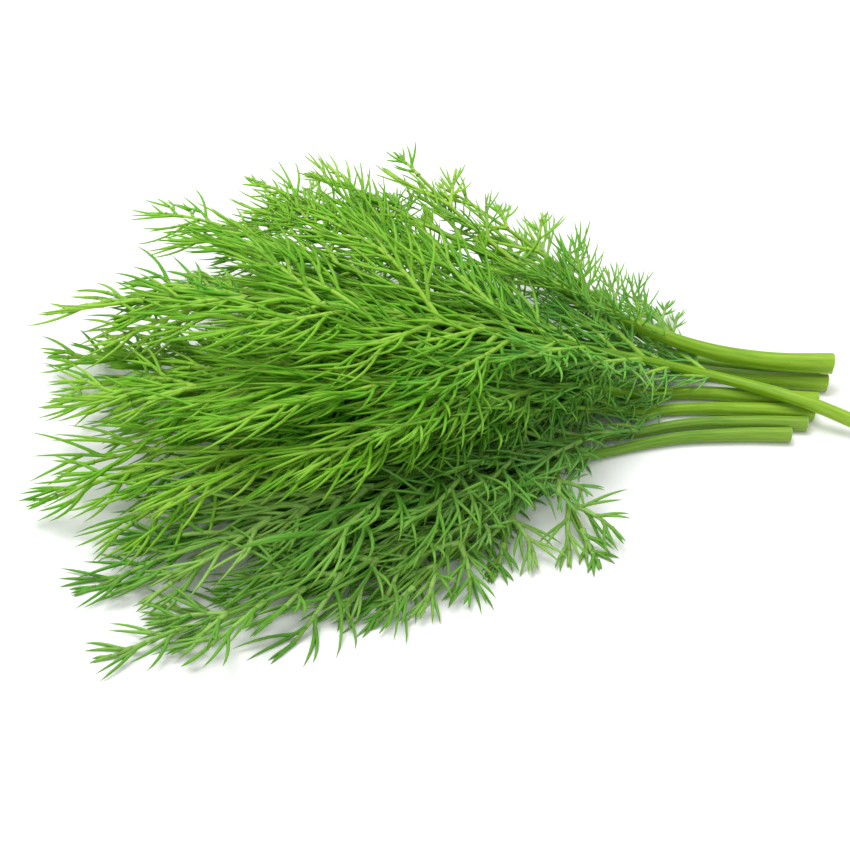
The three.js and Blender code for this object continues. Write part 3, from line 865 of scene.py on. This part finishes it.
# The leaves' skin: dark, middling or light green by the tint, paler in patches and on the branches,
# painted a paler grey-green by the stalk as shade, where little light comes, and olive at the threads'
# tips.
LEAF_COLOURS = {
    "bright_green": {"dark": (0.03, 0.235, 0.002), "mid": (0.13, 0.39, 0.01), "light": (0.3, 0.53, 0.055)},
    "deep_green": {"dark": (0.03, 0.2, 0.006), "mid": (0.115, 0.325, 0.03), "light": (0.27, 0.48, 0.1)},
}
# Painted shade: the grey-green given to the leaves by the stalk, deep in the bunch.
PAINTED_SHADE_GREEN = (0.16, 0.4, 0.1)
TIP_OLIVE = (0.1, 0.2, 0.012)
# Where each of these begins, and how fast it grows from there, as on the stalks.
PATCHES = (0.42, 1.4)
BY_THE_STALK = (0.4, -1.3)
ON_BRANCHES = (1.0, -0.85)
TIPWARD = (0.0, 0.12)
AT_TIPS = (0.64, 2.0)
PATCH_SCALE = 90.0
PATCH_DETAIL = 3.0
GRAIN_SCALE = 2500.0
GRAIN_DETAIL = 2.0
LEAF_SHEEN = {"Specular IOR Level": 0.16, "Subsurface Weight": 0.3}
LEAF_ROUGHNESS = {"To Min": 0.38, "To Max": 0.6}
LEAF_BUMPS = {"Strength": 0.25, "Distance": 0.06 * MM}


def leaf_material(slot):
    material, tree, shader = juicy_surface("leaf_" + slot)
    dark, mid, light = (LEAF_COLOURS[slot][shade] for shade in ("dark", "mid", "light"))
    where = node(tree, "ShaderNodeTexCoord").outputs["Object"]
    patches = speckle(tree, where, PATCH_SCALE, PATCH_DETAIL)
    grain = speckle(tree, where, GRAIN_SCALE, GRAIN_DETAIL)
    tipward = attribute(tree, "tipward")
    colour = colour_steps(tree, attribute(tree, "tint"), [(0.0, dark), (0.5, mid), (1.0, light)])
    for share, shade in (
        (past(tree, patches, *PATCHES), light),
        # painted shade by the stalk
        (past(tree, attribute(tree, "up"), *BY_THE_STALK), PAINTED_SHADE_GREEN),
        (past(tree, attribute(tree, "rank"), *ON_BRANCHES), light),
        (past(tree, tipward, *TIPWARD), light),
        (past(tree, tipward, *AT_TIPS), TIP_OLIVE),
    ):
        colour = blend_colours(tree, share, colour, shade)
    cover(tree, shader, colour, grain, LEAF_ROUGHNESS, LEAF_BUMPS)
    set_inputs(shader, LEAF_SHEEN)
    return material


leaf_skins = {slot: leaf_material(slot) for slot in LEAF_COLOURS}
for number, stem in enumerate(LEAFY_STEMS):
    threads = Threads()
    habit = HABITS[stem["name"]]
    for index, axis in enumerate(stem["axes"]):
        for plan in branch_plans(axis, number, index, habit):
            grow_branch(threads, axis, plan, habit)
    meshes = [threads.mesh(rank) for rank in (BRANCH, SPRIG, FORK)]
    leaves = new_piece(stem["name"] + "_leaves", *joined(meshes), leaf_skins[stem["slot"]])
    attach(leaves, "root")
    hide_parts(stem["name"])

# The table: a plain matt white board, much wider than the picture, with no pattern or seam. Its top
# is z = 0, and the bunch lies loose on it. From here on lengths are in metres.
HALF_TABLE = 3.0
BOARD_LOOK = {"Base Color": (0.93, 0.93, 0.93, 1), "Roughness": 0.7, "Specular IOR Level": 0.2}
corners = [(x * HALF_TABLE, y * HALF_TABLE, 0) for x, y in ((-1, -1), (1, -1), (1, 1), (-1, 1))]
floor_mesh = bpy.data.meshes.new("floor")
floor_mesh.from_pydata(corners, [], [(0, 1, 2, 3)])
floor_material = bpy.data.materials.new("white_board")
floor_material.use_nodes = True
set_inputs(floor_material.node_tree.nodes["Principled BSDF"], BOARD_LOOK)
floor_mesh.materials.append(floor_material)
floor = bpy.data.objects.new("floor", floor_mesh)
bpy.context.scene.collection.objects.link(floor)

# The light: a bright white room, as a white sky all round, and one broad lamp hung high on the left.
# Most of the light comes from the sky, so that shadows on the table stay faint and soft.
SKY_LOOK = {"Color": (1, 1, 1, 1), "Strength": 0.85}
LAMP_POWER = 13.0  # watts
LAMP_SIZE = 0.8
LAMP_PLACE = Vector((-0.3, 0.35, 1.2))
world = bpy.data.worlds.new("studio")
world.use_nodes = True
set_inputs(world.node_tree.nodes["Background"], SKY_LOOK)
bpy.context.scene.world = world
lamp_data = bpy.data.lights.new("lamp", "AREA")
lamp_data.energy = LAMP_POWER
lamp_data.size = LAMP_SIZE
lamp = bpy.data.objects.new("lamp", lamp_data)
lamp.location = LAMP_PLACE
lamp.rotation_mode = "QUATERNION"
lamp.rotation_quaternion = (-LAMP_PLACE).to_track_quat("-Z", "Y")
bpy.context.scene.collection.objects.link(lamp)
bpy.context.scene.view_settings.view_transform = "Standard"

# The camera: held in front of the bunch and looking down at it. Its distance and focal length are
# guesses that fit the photograph's mild perspective.
ELEVATION = math.radians(40)
DISTANCE = 0.48
FOCAL_PIXELS = 2000
IMAGE_PIXELS = 850
SENSOR_WIDTH = 36  # millimetres
NEAREST_SEEN = 0.01
AIM_HEIGHT = 12 * MM
TARGET = Vector((0, 0, AIM_HEIGHT)) - Vector(BUNCH_MIDDLE * MM)
camera_data = bpy.data.cameras.new("camera")
camera_data.sensor_width = SENSOR_WIDTH
camera_data.lens = camera_data.sensor_width * FOCAL_PIXELS / IMAGE_PIXELS
camera_data.clip_start = NEAREST_SEEN
camera = bpy.data.objects.new("camera", camera_data)
back = Vector((0, -math.cos(ELEVATION), math.sin(ELEVATION)))
camera.location = TARGET + back * DISTANCE
camera.rotation_mode = "QUATERNION"
camera.rotation_quaternion = (-back).to_track_quat("-Z", "Y")
bpy.context.scene.collection.objects.link(camera)
bpy.context.scene.camera = camera
